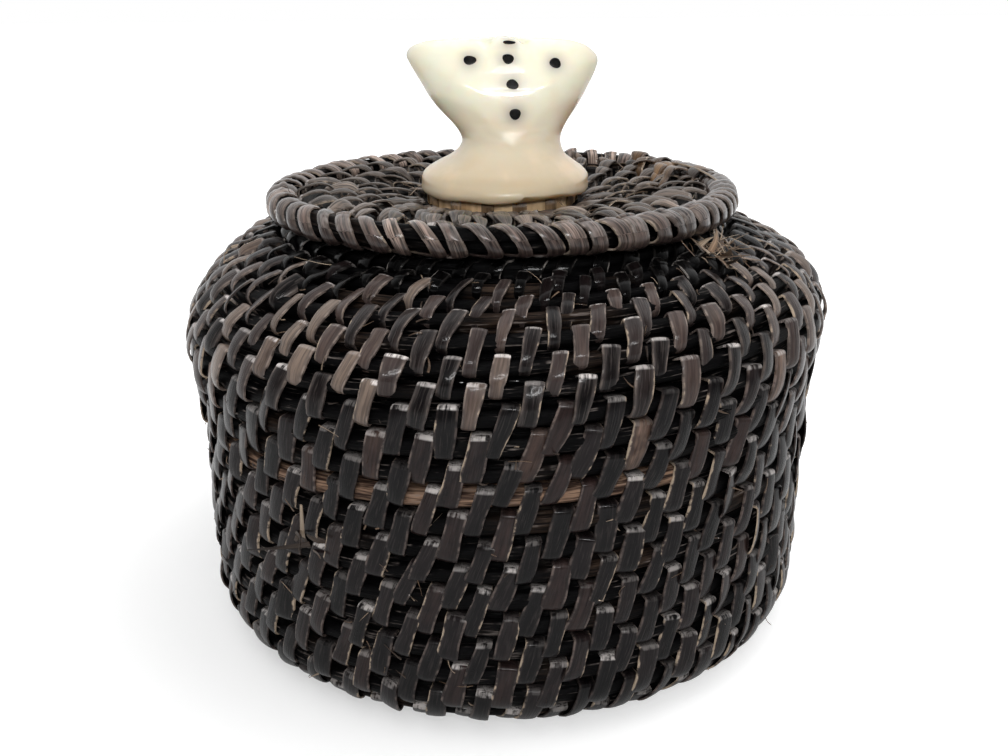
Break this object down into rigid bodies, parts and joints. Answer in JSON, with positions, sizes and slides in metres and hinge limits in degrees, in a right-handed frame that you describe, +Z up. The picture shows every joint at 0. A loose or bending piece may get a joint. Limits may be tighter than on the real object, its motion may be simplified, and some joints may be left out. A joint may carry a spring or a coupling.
{
  "type": "lidded coiled basket",
  "caption": "Round coiled baleen basket with a rounded shoulder and a flanged lid that lifts off by a whale-tail finial with dark inlaid plugs.",
  "frame": {"origin": "middle of the base, on the surface that the basket stands on", "axes": "+Z up, -Y towards the side with the inlaid plugs, +X to the right as seen from there"},
  "size_m": [0.09, 0.09, 0.0827],
  "materials": {
    "baleen": "satin near-black baleen, a keratin",
    "disc": "amber ivory, satin",
    "ivory": "polished cream ivory",
    "inlay": "polished black baleen"
  },
  "bodies": {
    "basket": {"base_start_disc": "disc", "base_courses": "baleen", "heel_courses": "baleen", "wall_courses": "baleen", "shoulder_courses": "baleen", "mouth_course": "baleen"},
    "lid": {"lid_start_disc": "disc", "lid_courses": "baleen", "lid_rim_course": "baleen", "lid_flange_courses": "baleen", "finial_tail": "ivory", "finial_peg": "inlay", "inlay_left_lobe": "inlay", "inlay_right_lobe": "inlay", "inlay_crest": "inlay", "inlay_upper": "inlay", "inlay_middle": "inlay", "inlay_lower": "inlay"}
  },
  "joints": [
    {"name": "lid_lift", "type": "slide", "parent": "basket", "child": "lid", "axis": [0, 0, 1], "range_m": [0, 0.07]}
  ]
}
